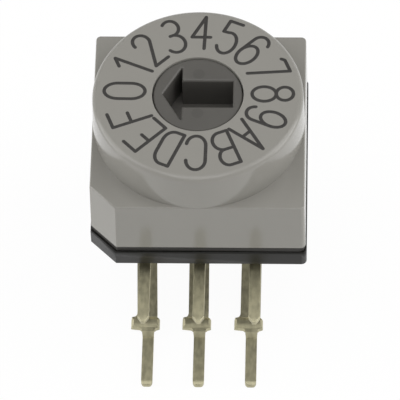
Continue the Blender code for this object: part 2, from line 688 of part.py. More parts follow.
def make_terminals(bench):
    words = ("left", "middle", "right")
    point = BOARD_FACE - UPPER_REACH
    upper_tail = [
        (point + POINT_LENGTH, UPPER_MIDDLE, PIN_WIDTH, 0),
        (point, UPPER_MIDDLE, POINT_WIDTH, 0),
    ]
    lower_tail = shoulder_and_pin()
    for column, word, upper, lower, foot in zip((-1, 0, 1), words, UPPER_SET, LOWER_SET, FOOT_SET):
        make_terminal(bench, "upper_terminal_" + word, column, -1, PIN_WIDTH, UPPER_MIDDLE, UPPER_BEND,
                      upper, upper, upper_tail)
        terminal = make_terminal(bench, "lower_terminal_" + word, column, 1, STRIP_WIDTH, STRIP_MIDDLE,
                                 LOWER_BEND, foot, lower, lower_tail)
        coin_shoulder(bench, terminal, column * PITCH + lower + SHOULDER_ASIDE)


def make_contacts(bench):
    """A sprung finger on each terminal's pad reaches up to its own track of the code disc."""
    def on_track(track, x_side, y_side):
        return (x_side * math.sqrt(track ** 2 - FINGER_OFFSET ** 2), y_side * FINGER_OFFSET)

    tips = {
        "lower_left": (-1, 1, on_track(TRACKS[0], -1, 1)),
        "lower_middle": (0, 1, (0, COMMON_TRACK)),
        "lower_right": (1, 1, on_track(TRACKS[1], 1, 1)),
        "upper_left": (-1, -1, on_track(TRACKS[2], -1, -1)),
        "upper_middle": (0, -1, (0, -COMMON_TRACK)),
        "upper_right": (1, -1, on_track(TRACKS[3], 1, -1)),
    }
    foot_level = PAD_TOP + SEAT_GAP + FINGER_THICK / 2
    nose_level = DISC_FOOT - SEAT_GAP - FINGER_THICK / 2
    for word, (column, side, tip) in tips.items():
        heel = Vector((column * PITCH, side * (PAD_END + FINGER_HEEL)))
        run = Vector(tip) - heel
        along = run.normalized()
        reach = run.length
        path = bent_path([
            (0, foot_level),
            (FINGER_FOOT, foot_level),
            (reach - FINGER_NOSE / 2, nose_level),
            (reach + FINGER_NOSE / 2, nose_level),
            (reach + FINGER_NOSE / 2 + FINGER_TAIL, nose_level - FINGER_TAIL / 2),
        ], (FINGER_BEND, FINGER_BEND, FINGER_BEND), 2)
        stations = [(Vector((*(heel + along * place), level)), FINGER_WIDTH) for place, level in path]
        across = Vector((-along.y, along.x, 0))
        strip(bench, "contact_spring_" + word, stations, across, FINGER_THICK, 0, bench.gold_plate)


def main():
    clear_scene()
    bench = Bench()
    make_base(bench)
    make_joint_seal(bench)
    make_cover(bench)
    make_rotor(bench)
    make_rotor_seal(bench)
    make_code_disc(bench)
    make_detent(bench)
    make_terminals(bench)
    make_contacts(bench)


if __name__ == "__main__":
    main()
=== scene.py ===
"""Looks of a right-angle rotary dip switch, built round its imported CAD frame.

The switch lies on its back with the dial up and the pins towards the viewer. Sizes are in metres. The
housing's own origin is on the rotor's axis at the back face of the base; pieces are modelled there and
carried to their place in the row frame when they are finished.
"""

import math

import bmesh
import bpy
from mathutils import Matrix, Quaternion, Vector


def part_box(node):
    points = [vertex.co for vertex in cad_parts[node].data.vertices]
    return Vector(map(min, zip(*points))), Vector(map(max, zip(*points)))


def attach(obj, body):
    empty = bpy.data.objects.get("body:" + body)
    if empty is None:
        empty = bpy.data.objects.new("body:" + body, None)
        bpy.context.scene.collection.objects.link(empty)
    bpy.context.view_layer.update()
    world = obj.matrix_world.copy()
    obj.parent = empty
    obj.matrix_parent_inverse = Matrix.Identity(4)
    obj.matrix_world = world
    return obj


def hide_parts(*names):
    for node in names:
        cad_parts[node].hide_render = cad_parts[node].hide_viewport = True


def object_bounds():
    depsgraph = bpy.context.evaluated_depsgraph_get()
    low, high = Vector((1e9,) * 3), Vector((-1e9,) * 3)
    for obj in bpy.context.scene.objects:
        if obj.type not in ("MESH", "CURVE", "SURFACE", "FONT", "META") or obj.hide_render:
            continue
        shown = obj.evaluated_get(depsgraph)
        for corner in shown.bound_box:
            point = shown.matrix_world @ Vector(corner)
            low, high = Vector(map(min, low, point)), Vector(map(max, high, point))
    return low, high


bl_info = {
    "name": "Rotary dip switch",
    "version": (1, 0, 0),
    "blender": (4, 5, 0),
    "location": "View3D > Sidebar > Dip Switch",
    "description": "Models and finishes a right-angle rotary dip switch round its CAD frame",
    "category": "Object",
}

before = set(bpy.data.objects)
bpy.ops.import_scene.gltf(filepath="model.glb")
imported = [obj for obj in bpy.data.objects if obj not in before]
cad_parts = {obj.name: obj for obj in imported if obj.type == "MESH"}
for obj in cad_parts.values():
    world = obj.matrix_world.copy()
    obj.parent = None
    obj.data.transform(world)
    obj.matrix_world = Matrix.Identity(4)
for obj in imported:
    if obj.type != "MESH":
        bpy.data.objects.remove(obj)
CAD_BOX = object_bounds()

MM = 0.001
FULL_TURN = 2 * math.pi

# The housing, from the frame
BASE_LOW, BASE_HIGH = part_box("base")
COVER_LOW, COVER_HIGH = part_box("cover")
ROTOR_LOW, ROTOR_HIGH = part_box("rotor")
DISC_LOW, DISC_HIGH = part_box("code_disc")
HOUSING = Vector(((BASE_LOW.x + BASE_HIGH.x) / 2, (BASE_LOW.y + BASE_HIGH.y) / 2, BASE_LOW.z))
HALF_BASE = (BASE_HIGH.x - BASE_LOW.x) / 2
COVER_SIDE = COVER_HIGH.x - COVER_LOW.x
COVER_FOOT = COVER_LOW.z - HOUSING.z
DIAL_TOP = COVER_HIGH.z - HOUSING.z
ROTOR_TOP = ROTOR_HIGH.z - HOUSING.z
DRUM_RADIUS = (ROTOR_HIGH.x - ROTOR_LOW.x) / 2
DISC_FOOT = DISC_LOW.z - HOUSING.z
DISC_TOP = DISC_HIGH.z - HOUSING.z

# Cover
COVER_HEIGHT = 3.06 * MM
COVER_DRAFT = 0.05 * MM
KEY_CHAMFER = 1.20 * MM
COVER_CORNER = 0.22 * MM
COVER_EDGE = 0.07 * MM
DIAL_INSET = 0.04 * MM
DIAL_DRAFT = 0.03 * MM        # the wall leans in by this above its middle and out below it
RIM_FILLET = 0.26 * MM
RIM_STEPS = 9
BORE_RADIUS = 2.09 * MM
BORE_EDGE = 0.03 * MM
LIP_THICK = 0.56 * MM
SEAT_DEPTH = 1.26 * MM        # from the dial's face to the cavity's ceiling
SEAT_RADIUS = 2.73 * MM       # of the pocket for the O-ring
CAVITY_WALL = 0.76 * MM
POSITIONS = 16
NOTCH_RADIUS = 0.50 * MM
NOTCH_DEPTH = 0.14 * MM
NOTCH_TOP = 4.39 * MM
PEG_INSET = 0.88 * MM
PEG_HOLE_RADIUS = 0.38 * MM
PEG_HOLE_TOP = 1.79 * MM
DIAL_FACETS = 224
TURNED_FACETS = 112
SMALL_FACETS = 24
OVERCUT = 0.20 * MM           # how far a cutting tool stands past the face that it cuts

# Rotor
NECK_RADIUS = 2.04 * MM
NECK_EDGE = 0.05 * MM
END_PLAY = 0.04 * MM
DRUM_EDGE = 0.15 * MM
HUB_RADIUS = 0.93 * MM
PIVOT_RADIUS = 0.60 * MM
PIVOT_DEPTH = 0.80 * MM
CROSS_BORE_RADIUS = 0.46 * MM
CROSS_BORE_HEIGHT = 3.75 * MM
ARROW_LENGTH = 3.20 * MM
ARROW_HEAD_LENGTH = 0.86 * MM
ARROW_HEAD_WIDTH = 3.00 * MM
ARROW_STEM_WIDTH = 1.44 * MM
ARROW_DEPTH = 1.80 * MM
ARROW_SET = 0.08 * MM         # how far it stands off the axis, to the back
ARROW_EDGE = 0.12 * MM
ARROW_BLUNT = 0.11 * MM       # cut from the two sharp corners of the head
MARKS = ((0.02 * MM, 1.18 * MM), (0.005 * MM, -1.03 * MM))     # of the ejector pins
MARK_RADIUS = 0.26 * MM
MARK_SOFT = 0.03 * MM
# The ejector marks' discs are painted shade: their colour is darkened by this factor, at this strength
MARK_PAINTED_SHADE = 0.7
MARK_STRENGTH = 0.4

# Terminals
PITCH = 2.54 * MM
ROW_HALF = 3.81 * MM
SHEET = 0.25 * MM
PIN_WIDTH = 0.53 * MM
PAD_WIDTH = 1.05 * MM
PAD_REACH = 1.01 * MM
NECK_RUN = 0.12 * MM
TIGHT_BEND = 0.25 * MM
UPPER_BEND = 0.38 * MM
LOWER_BEND = 0.60 * MM
BEND_STEPS = 8
POINT_LENGTH = 0.28 * MM
POINT_WIDTH = 0.15 * MM
POINT_BEVEL = 0.025 * MM
STRIP_WIDTH = 0.95 * MM
JOGGLE = 0.27 * MM
JOGGLE_RUN = 0.17 * MM
SHOULDER_WIDTH = 1.36 * MM
SHOULDER_LENGTH = 0.57 * MM
SHOULDER_ASIDE = -0.08 * MM
SHOULDER_BACK = 0.15 * MM
SHOULDER_FLARE = 0.28 * MM
FLARE_STEPS = 8
ROOT_WIDTH = 0.88 * MM
ROOT_RUN = 0.30 * MM
PIN_ASIDE = 0.06 * MM
BLUNT_LENGTH = 0.26 * MM
BLUNT_WIDTH = 0.18 * MM
BLUNT_THICK = 0.10 * MM
BLUNT_STEPS = 5
SHEET_EDGE = 0.045 * MM
COINED_EDGE = 0.13 * MM
COINED_GAP = 0.02 * MM        # left between the coined edges and the flare

# Camera, measured from the housing's origin
CAMERA_DISTANCE = 199.36 * MM
CAMERA_ELEVATION = math.radians(54.95)
CAMERA_TURN = math.radians(3.085)
CAMERA_ROLL = math.radians(-2.17)
CAMERA_AIM = (-0.039 * MM, -1.161 * MM)     # of the picture's centre, to the right and up in the picture
SENSOR = 36.0                               # millimetres, as Blender has it
PICTURE = 400                               # pixels
FOCAL_PIXELS = 4255.8
NEAREST_SEEN = 10 * MM
FARTHEST_SEEN = 2000 * MM

# Floor and light
FLOOR_SIZE = 400 * MM
PLAIN_WHITE = 0.95                          # share of the floor that is plain white where it is seen
TENT_LOW = 0.80                             # the light tent's strength at the horizon
TENT_HIGH = 0.30                            # and from the height up where it has faded
TENT_FADE = 0.50                            # sine of that height
LAMP_AIM = 3 * MM                           # how high above the housing's origin the lamps point

# Name, place from the housing's origin, size and power of each soft lamp
LAMPS = (
    ("overhead_softbox", (0, 0, 0.22), (0.20, 0.20), 0.11),
    ("front_top_softbox", (0, -0.10, 0.20), (0.14, 0.14), 0.07),
    ("left_high_softbox", (-0.16, 0, 0.16), (0.16, 0.16), 0.14),
    ("right_high_softbox", (0.16, 0, 0.16), (0.16, 0.16), 0.17),
    ("left_low_softbox", (-0.22, 0, 0.05), (0.14, 0.10), 0.11),
    ("right_low_softbox", (0.22, 0, 0.05), (0.14, 0.10), 0.13),
)

# Placed from the frame
UPPER_LOW, UPPER_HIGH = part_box("upper_terminal_middle")
LOWER_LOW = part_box("lower_terminal_middle")[0]
BOARD_FACE = -HALF_BASE
PAD_MIDDLE = UPPER_HIGH.z - HOUSING.z - SHEET / 2
UPPER_MIDDLE = UPPER_LOW.z - HOUSING.z + SHEET / 2
LOWER_PIN_MIDDLE = LOWER_LOW.z - HOUSING.z + SHEET / 2
STRIP_MIDDLE = LOWER_PIN_MIDDLE + JOGGLE
UPPER_TIP = UPPER_LOW.y - HOUSING.y
LOWER_TIP = LOWER_LOW.y - HOUSING.y
COVER_TOP = COVER_FOOT + COVER_HEIGHT
DIAL_RADIUS = COVER_SIDE / 2 - COVER_DRAFT - DIAL_INSET
CAVITY_RADIUS = DIAL_RADIUS - CAVITY_WALL
CEILING = DIAL_TOP - SEAT_DEPTH
PEG_PLACE = HALF_BASE - PEG_INSET
DRUM_TOP = CEILING - END_PLAY
PIVOT_TOP = DISC_FOOT + PIVOT_DEPTH
COLUMNS = ((-1, "left"), (0, "middle"), (1, "right"))

# Modelling and shading
NEAR = 0.004 * MM                           # two levels closer than this are the same
MERGE_DISTANCE = 0.0001 * MM
DOWNWARD = -0.9                             # z of a normal that points down
SMOOTH_ANGLE = math.radians(32)
BREAK_ANGLE = math.radians(60)              # edges of the sheet that turn more than this are broken
COLOUR_SPREAD = (0.35, 0.65)                # where most of a noise lies
ROUGHNESS_SPREAD = (0.3, 0.7)
CLOUD_SIZE = 1.6 * MM
CLOUD_ROUGHNESS = 0.02                      # how far the roughness strays with the cloudiness
MIX_A, MIX_B, MIX_RESULT = 6, 7, 2          # the colour sockets of a Mix node


def hex_to_linear(code):
    """Turn an sRGB hex value such as 8C8A84 into linear red, green and blue."""
    channels = [int(code[i:i + 2], 16) / 255 for i in (0, 2, 4)]
    return tuple(c / 12.92 if c <= 0.04045 else ((c + 0.055) / 1.055) ** 2.4 for c in channels)


# Selecting and editing

def deselect_all():
    bpy.ops.object.select_all(action="DESELECT")


def activate(obj):
    deselect_all()
    obj.select_set(True)
    bpy.context.view_layer.objects.active = obj


def added(name):
    """Name the primitive that was just added, and keep its place in its mesh."""
    bpy.ops.object.transform_apply(location=True, rotation=True, scale=True)
    obj = bpy.context.active_object
    obj.name = name
    obj.data.name = name
    return obj


def add_box(name, low, high):
    deselect_all()
    size = [top - foot for foot, top in zip(low, high)]
    middle = [(top + foot) / 2 for foot, top in zip(low, high)]
    bpy.ops.mesh.primitive_cube_add(size=1, location=middle, scale=size)
    return added(name)


def add_rod(name, radius, foot, top, place):
    deselect_all()
    bpy.ops.mesh.primitive_cylinder_add(vertices=SMALL_FACETS, radius=radius, depth=top - foot,
                                        location=(*place, (top + foot) / 2))
    return added(name)


def edit(obj):
    activate(obj)
    bpy.ops.object.mode_set(mode="EDIT")
    bpy.ops.mesh.select_all(action="DESELECT")


def leave():
    bpy.ops.object.mode_set(mode="OBJECT")


def pick(obj, kind, test):
    """Select the vertices, edges or faces that pass a test, in edit mode."""
    bpy.ops.mesh.select_all(action="DESELECT")
    bpy.ops.mesh.select_mode(type=kind)
    bm = bmesh.from_edit_mesh(obj.data)
    elements = {"VERT": bm.verts, "EDGE": bm.edges, "FACE": bm.faces}[kind]
    found = [element for element in elements if test(element)]
    if not found:
        raise RuntimeError(f"nothing to pick on {obj.name}")
    for element in found:
        element.select_set(True)
    bm.select_flush_mode()
    bmesh.update_edit_mesh(obj.data)


def pick_vertices(obj, test):
    pick(obj, "VERT", lambda v: test(v.co))


def pick_edges(obj, test):
    """Select the edges whose two ends both pass a test."""
    pick(obj, "EDGE", lambda e: test(e.verts[0].co) and test(e.verts[1].co))


def pick_faces(obj, test):
    """Select the faces whose middle and normal pass a test."""
    pick(obj, "FACE", lambda f: test(f.calc_center_median(), f.normal))


def near(value, wanted):
    return abs(value - wanted) < NEAR


def radius_of(co):
    return math.hypot(co.x, co.y)


def run(edge):
    """How far an edge goes along each axis."""
    return Vector([abs(way) for way in edge.verts[1].co - edge.verts[0].co])


def merge_doubles():
    bpy.ops.mesh.select_all(action="SELECT")
    bpy.ops.mesh.remove_doubles(threshold=MERGE_DISTANCE)


def apply_modifier(obj, kind, **settings):
    activate(obj)
    modifier = obj.modifiers.new(kind.lower(), kind)
    for key, value in settings.items():
        setattr(modifier, key, value)
    bpy.ops.object.modifier_apply(modifier=modifier.name)


def combine(obj, tool, operation="DIFFERENCE"):
    apply_modifier(obj, "BOOLEAN", operation=operation, solver="EXACT", object=tool)
    bpy.data.objects.remove(tool, do_unlink=True)


def turned(name, profile, facets):
    """A turned form, worked from its top face down: each pair is a radius and a level."""
    (top_radius, top), (foot_radius, foot) = profile[:2]
    deselect_all()
    bpy.ops.mesh.primitive_cone_add(vertices=facets, radius1=foot_radius, radius2=top_radius,
                                    depth=top - foot, location=(0, 0, (top + foot) / 2))
    obj = added(name)
    edit(obj)
    pick_faces(obj, lambda middle, normal: near(middle.z, foot) and normal.z < DOWNWARD)
    radius, level = foot_radius, foot
    for next_radius, next_level in profile[2:]:
        bpy.ops.mesh.extrude_region_move(TRANSFORM_OT_translate={"value": (0, 0, next_level - level)})
        widen = next_radius / radius
        bpy.ops.transform.resize(value=(widen, widen, 1), center_override=(0, 0, next_level))
        radius, level = next_radius, next_level
    leave()
    return obj


def arc(centre, radii, start, end, steps):
    """Points along part of an ellipse, from one angle to another in degrees."""
    angles = [math.radians(start + (end - start) * i / steps) for i in range(steps + 1)]
    return [(centre[0] + radii[0] * math.cos(a), centre[1] + radii[1] * math.sin(a)) for a in angles]


def copied(obj, name):
    """A copy with its own mesh."""
    activate(obj)
    bpy.ops.object.duplicate(linked=False)
    twin = bpy.context.active_object
    twin.name = name
    twin.data.name = name
    return twin


def smooth_shading(obj):
    activate(obj)
    bpy.ops.object.shade_smooth_by_angle(angle=SMOOTH_ANGLE)


def even_shading(obj):
    """Keep flat faces flat beside their fillets."""
    smooth_shading(obj)
    apply_modifier(obj, "WEIGHTED_NORMAL", keep_sharp=True, weight=100)


def hand_over(obj, material, body, slot, *nodes):
    """Give a finished piece its material and tell the frame about it."""
    obj.data.materials.clear()
    obj.data.materials.append(material)
    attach(obj, body)
    if nodes:
        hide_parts(*nodes)


def seat(obj, material, body, slot, *nodes):
    """Carry a shaded piece to the housing's place and hand it over."""
    activate(obj)
    obj.location = HOUSING
    bpy.ops.object.transform_apply(location=True, rotation=True, scale=True)
    hand_over(obj, material, body, slot, *nodes)


# Materials

def add_node(tree, kind, links=None, values=None, **settings):
    """Add one node with its settings, the values on its sockets and the links into them."""
    node = tree.nodes.new(kind)
    for key, value in settings.items():
        setattr(node, key, value)
    for socket, value in (values or {}).items():
        node.inputs[socket].default_value = value
    for socket, source in (links or {}).items():
        tree.links.new(source, node.inputs[socket])
    return node


def new_material(name, colour, roughness, **sockets):
    """A material with its constants on the shader's own sockets: gives back it, its tree and shader."""
    material = bpy.data.materials.new(name)
    material.use_nodes = True
    tree = material.node_tree
    shader = tree.nodes["Principled BSDF"]
    shader.inputs["Base Color"].default_value = (*colour, 1)
    shader.inputs["Roughness"].default_value = roughness
    for socket, value in sockets.items():
        shader.inputs[socket.replace("_", " ")].default_value = value
    return material, tree, shader


def shade(colour, factor):
    """A colour made darker or lighter, with its alpha."""
    return (*(channel * factor for channel in colour), 1)


def noise_on_object(tree, size, detail=2, stretch=(1, 1, 1)):
    """Noise whose spots are about the given size in metres."""
    place = add_node(tree, "ShaderNodeTexCoord")
    scaled = add_node(tree, "ShaderNodeMapping", {"Vector": place.outputs["Object"]},
                      {"Scale": tuple(way / size for way in stretch)})
    noise = add_node(tree, "ShaderNodeTexNoise", {"Vector": scaled.outputs["Vector"]},
                     {"Scale": 1.0, "Detail": detail})
    return noise.outputs["Fac"]


def vary_colour(tree, shader, pattern, colour, dark, light):
    """Colour that runs with a pattern from a darker shade to a lighter one."""
    low, high = COLOUR_SPREAD
    spread = add_node(tree, "ShaderNodeMapRange", {"Value": pattern}, {"From Min": low, "From Max": high})
    blend = add_node(tree, "ShaderNodeMix", {"Factor": spread.outputs["Result"]},
                     {MIX_A: shade(colour, dark), MIX_B: shade(colour, light)}, data_type="RGBA")
    tree.links.new(blend.outputs[MIX_RESULT], shader.inputs["Base Color"])


def vary_roughness(tree, shader, pattern, smooth, rough):
    low, high = ROUGHNESS_SPREAD
    spread = add_node(tree, "ShaderNodeMapRange", {"Value": pattern},
                      {"From Min": low, "From Max": high, "To Min": smooth, "To Max": rough})
    tree.links.new(spread.outputs["Result"], shader.inputs["Roughness"])


def emboss(tree, shader, pattern, depth):
    """Bump with a real depth in metres."""
    bump = add_node(tree, "ShaderNodeBump", {"Height": pattern}, {"Distance": depth, "Strength": 1.0})
    tree.links.new(bump.outputs["Normal"], shader.inputs["Normal"])


def moulded_plastic(name, colour, roughness, grit, depth, mottle, index=1.50):
    """Moulded thermoplastic: an even colour with a faint cloudiness and the grit of its mould."""
    # The real grit is finer: it is drawn about a pixel wide, as coarse as it needs to show.
    material, tree, shader = new_material(name, colour, roughness, IOR=index)
    cloud = noise_on_object(tree, CLOUD_SIZE, detail=4)
    vary_colour(tree, shader, cloud, colour, dark=1 - mottle, light=1 + mottle)
    vary_roughness(tree, shader, cloud, smooth=roughness - CLOUD_ROUGHNESS,
                   rough=roughness + CLOUD_ROUGHNESS)
    emboss(tree, shader, noise_on_object(tree, grit), depth)
    return material


def cover_plastic(colour):
    # Light-grey PBT from a polished mould: a satin gloss that mirrors the pins and the floor softly low on
    # its walls, with only a trace of grit.
    return moulded_plastic("moulded_grey_pbt", colour, roughness=0.15, grit=0.05 * MM,
                           depth=0.0008 * MM, mottle=0.004)


def base_plastic(colour):
    # Dark glass-filled PBT: nearly black, with the floor's white only as a dim broad sheen on its sides.
    # The fibres at the surface weaken the sheen, drawn as a lower index than the cover's.
    return moulded_plastic("moulded_dark_pbt", colour, roughness=0.38, grit=0.06 * MM,
                           depth=0.0012 * MM, mottle=0.03, index=1.40)


def rotor_plastic(colour):
    # Mid-grey nylon: matte and cloudier than the cover, with two slightly darker discs where the ejector
    # pins pushed it out of its mould. Their darkness is painted shade for the marks' shallow recesses,
    # which are not cut.
    material = moulded_plastic("moulded_grey_nylon", colour, roughness=0.45, grit=0.05 * MM,
                               depth=0.002 * MM, mottle=0.04)
    tree = material.node_tree
    shader = tree.nodes["Principled BSDF"]
    place = add_node(tree, "ShaderNodeTexCoord")
    shown = shader.inputs["Base Color"].links[0].from_socket
    # Painted shade: a darker disc at each ejector mark stands in for its shallow recess
    for x, y in MARKS:
        centre = HOUSING + Vector((x, y, ROTOR_TOP))
        away = add_node(tree, "ShaderNodeVectorMath", {0: place.outputs["Object"]}, {1: centre},
                        operation="DISTANCE")
        inside = add_node(tree, "ShaderNodeMapRange", {"Value": away.outputs["Value"]},
                          {"From Min": MARK_RADIUS + MARK_SOFT, "From Max": MARK_RADIUS,
                           "To Max": MARK_STRENGTH})
        blend = add_node(tree, "ShaderNodeMix", {"Factor": inside.outputs["Result"], MIX_A: shown},
                         {MIX_B: shade(colour, MARK_PAINTED_SHADE)}, data_type="RGBA")
        shown = blend.outputs[MIX_RESULT]
    tree.links.new(shown, shader.inputs["Base Color"])
    return material


def seal_rubber(colour):
    # Nitrile rubber: nearly black, with a dull broad sheen and no sharp highlight.
    material, tree, shader = new_material("nitrile_rubber", colour, roughness=0.62, IOR=1.52)
    grain = noise_on_object(tree, 0.05 * MM, detail=3)
    vary_colour(tree, shader, grain, colour, dark=0.8, light=1.2)
    emboss(tree, shader, grain, depth=0.002 * MM)
    return material


def dial_ink(colour):
    # Pad-printed ink: a thin matte film, a little uneven where it has thinned over the grit.
    material, tree, shader = new_material("pad_printed_ink", colour, roughness=0.55, IOR=1.48)
    patch = noise_on_object(tree, 0.12 * MM, detail=3)
    vary_colour(tree, shader, patch, colour, dark=0.86, light=1.16)
    return material


def tin_plate(colour):
    # Matte electroplated tin on stamped bronze: a warm, slightly yellow dull metal that blurs what it
    # mirrors, mottled where the crystals differ and drawn out a little along the pin. Its crystals are
    # too fine to show, so they are drawn as patches a few pixels wide.
    material, tree, shader = new_material("matte_tin_plate", colour, roughness=0.56, Metallic=1.0)
    crystals = noise_on_object(tree, 0.16 * MM, detail=4, stretch=(1, 0.45, 0.45))
    vary_colour(tree, shader, crystals, colour, dark=0.84, light=1.06)
    vary_roughness(tree, shader, crystals, smooth=0.50, rough=0.62)
    emboss(tree, shader, noise_on_object(tree, 0.07 * MM), depth=0.0025 * MM)
    return material


def gold_plate(colour):
    # Thin gold over nickel: warm, fairly bright, with the rolling lines of the strip.
    material, tree, shader = new_material("gold_plated_strip", colour, roughness=0.22, Metallic=1.0)
    lines = noise_on_object(tree, 0.10 * MM, stretch=(0.1, 1, 1))
    vary_colour(tree, shader, lines, colour, dark=0.88, light=1.05)
    vary_roughness(tree, shader, lines, smooth=0.18, rough=0.30)
    return material


def spring_steel(colour):
    # Drawn stainless wire and ground balls: neutral and bright, with faint drawing marks.
    material, tree, shader = new_material("drawn_stainless_steel", colour, roughness=0.20, Metallic=1.0)
    marks = noise_on_object(tree, 0.05 * MM)
    vary_colour(tree, shader, marks, colour, dark=0.92, light=1.05)
    vary_roughness(tree, shader, marks, smooth=0.15, rough=0.28)
    return material


def colour_property(name, description, code):
    return bpy.props.FloatVectorProperty(name=name, description=description, subtype="COLOR", size=3,
                                         min=0, max=1, default=hex_to_linear(code))


def length_property(name, description, default):
    return bpy.props.FloatProperty(name=name, description=description, default=default, unit="LENGTH",
                                   precision=5)


def three_offsets(name, description, offsets):
    return bpy.props.FloatVectorProperty(name=name, description=description, size=3, unit="LENGTH",
                                         default=offsets)


class DipSwitchFinishes(bpy.types.PropertyGroup):
    cover: colour_property("Cover", "Colour of the light-grey cover", "8B8983")
    base: colour_property("Base", "Colour of the dark base", "12110D")
    rotor: colour_property("Rotor", "Colour of the rotor", "52504C")
    # The rubber's near-black also paints the shade of the gap between cover and base, where the joint seal
    # shows
    rubber: colour_property("Rubber", "Colour of the seals", "282623")
    ink: colour_property("Ink", "Colour of the dial's characters", "2F2D2B")
    tin: colour_property("Tin", "Colour of the plated terminals", "BDB89C")
    gold: colour_property("Gold", "Colour of the contacts and the code disc", "E0B872")
    steel: colour_property("Steel", "Colour of the spring and the balls", "B4B4B2")
    floor: colour_property("Floor", "Colour of the floor", "F6F6F4")


class DipSwitchPrint(bpy.types.PropertyGroup):
    radius: length_property("Middle radius", "From the dial's centre to the middle of a character",
                            3.39 * MM)
    height: length_property("Height", "Height of a character between the middles of its strokes", 1.87 * MM)
    stroke: length_property("Stroke", "Width of a stroke", 0.165 * MM)
    turn: bpy.props.FloatProperty(name="Turn", description="How far the print is turned clockwise",
                                  subtype="ANGLE", default=math.radians(0.65))
    film: length_property("Film", "How far the ink stands above the dial", 0.010 * MM)
    shift_x: length_property("Shift right", "How far the print lies to the right of the dial's centre",
                             0.04 * MM)
    shift_y: length_property("Shift back", "How far the print lies behind the dial's centre", 0.08 * MM)


class DipSwitchTerminals(bpy.types.PropertyGroup):
    pitch: length_property("Pitch", "Between two terminals of a row", PITCH)
    upper_set: three_offsets("Upper set", "How far each upper pin stands to the right of its place",
                             (0.03 * MM, 0.03 * MM, 0.07 * MM))
    lower_set: three_offsets("Lower set", "How far each lower shoulder stands to the right of its place",
                             (-0.02 * MM, -0.135 * MM, -0.22 * MM))
    foot_set: three_offsets("Foot set", "How far each lower leg's foot stands to the right of its place",
                            (-0.28 * MM, -0.22 * MM, -0.19 * MM))


# Characters, as strokes in a box that is one high: x from the middle, y from the foot
BOW_STEP = 12                               # degrees
FEWEST_BOW_STEPS = 6
STROKE_CORNER = math.radians(40)            # a stroke is cut where it turns more than this
END_ANGLES = (25, 50, 70, 86)               # of the points round a stroke's end, in degrees


def bow(x, y, across, up, start, end):
    """A round part of a character."""
    steps = max(FEWEST_BOW_STEPS, round(abs(end - start) / BOW_STEP))
    return arc((x, y), (across, up), start, end, steps)


CHARACTERS = {
    "0": [bow(0.015, 0.66, 0.235, 0.34, 0, 180) + bow(0.015, 0.34, 0.235, 0.34, 180, 360)
          + [(0.25, 0.66)]],
    "1": [[(-0.05, 0.81), (0.135, 1), (0.135, 0)]],
    "2": [bow(0.02, 0.78, 0.205, 0.23, 180, -25) + [(-0.20, 0), (0.21, 0)]],
    "3": [bow(0.03, 0.78, 0.205, 0.23, 138, -82) + [(-0.05, 0.55)],
          [(0.06, 0.55)] + bow(0.0, 0.285, 0.236, 0.265, 72, -148)],
    "4": [[(0.085, 0.03), (0.11, 1), (-0.22, 0.38), (0.235, 0.38)]],
    "5": [[(0.16, 1), (-0.18, 1), (-0.207, 0.64)] + bow(0.0, 0.34, 0.225, 0.33, 108, -150)],
    "6": [bow(-0.03, 0.79, 0.20, 0.22, 18, 176) + bow(-0.02, 0.32, 0.215, 0.32, 180, 540)],
    "7": [[(-0.215, 0.93), (-0.15, 1), (0.21, 1), (-0.11, 0)]],
    "8": [bow(0.016, 0.285, 0.22, 0.295, 90, 450), bow(0.0, 0.79, 0.20, 0.21, -90, 270)],
    "9": [bow(0.03, 0.21, 0.20, 0.22, 198, 356) + bow(0.02, 0.68, 0.215, 0.32, 0, 360)],
    "A": [[(-0.205, 0), (0.035, 1), (0.225, 0)], [(-0.11, 0.40), (0.15, 0.40)]],
    "B": [[(-0.225, 0), (-0.225, 1)],
          [(-0.225, 1), (0.02, 1)] + bow(0.02, 0.76, 0.19, 0.24, 90, -90) + [(-0.225, 0.52)],
          [(0.02, 0.52)] + bow(0.0, 0.26, 0.22, 0.26, 90, -90) + [(-0.225, 0)]],
    "C": [bow(0.01, 0.72, 0.235, 0.28, 0, 180) + bow(0.01, 0.28, 0.235, 0.28, 180, 350)],
    "D": [[(-0.225, 0), (-0.225, 1)],
          [(-0.225, 1), (-0.02, 1)] + bow(-0.02, 0.70, 0.235, 0.30, 90, 0)
          + bow(-0.02, 0.30, 0.235, 0.30, 0, -90) + [(-0.225, 0)]],
    "E": [[(0.19, 0), (-0.23, 0), (-0.23, 1), (0.19, 1)], [(-0.23, 0.55), (0.03, 0.55)]],
    "F": [[(-0.235, 0), (-0.235, 1), (0.19, 1)], [(-0.235, 0.52), (0.06, 0.52)]],
}


def cut_at_corners(stroke):
    """Cut a stroke wherever it turns sharply."""
    pieces = []
    piece = [stroke[0]]
    for before, here, after in zip(stroke, stroke[1:], stroke[2:]):
        piece.append(here)
        if (here - before).angle(after - here, 0) > STROKE_CORNER:
            pieces.append(piece)
            piece = [here]
    return pieces + [piece + [stroke[-1]]]


def round_end(last, before, half):
    """Points past the end of a stroke, with the share of its width they have."""
    ahead = (last - before).normalized() * half
    angles = [math.radians(degrees) for degrees in END_ANGLES]
    return [(last + ahead * math.sin(angle), math.cos(angle)) for angle in angles]


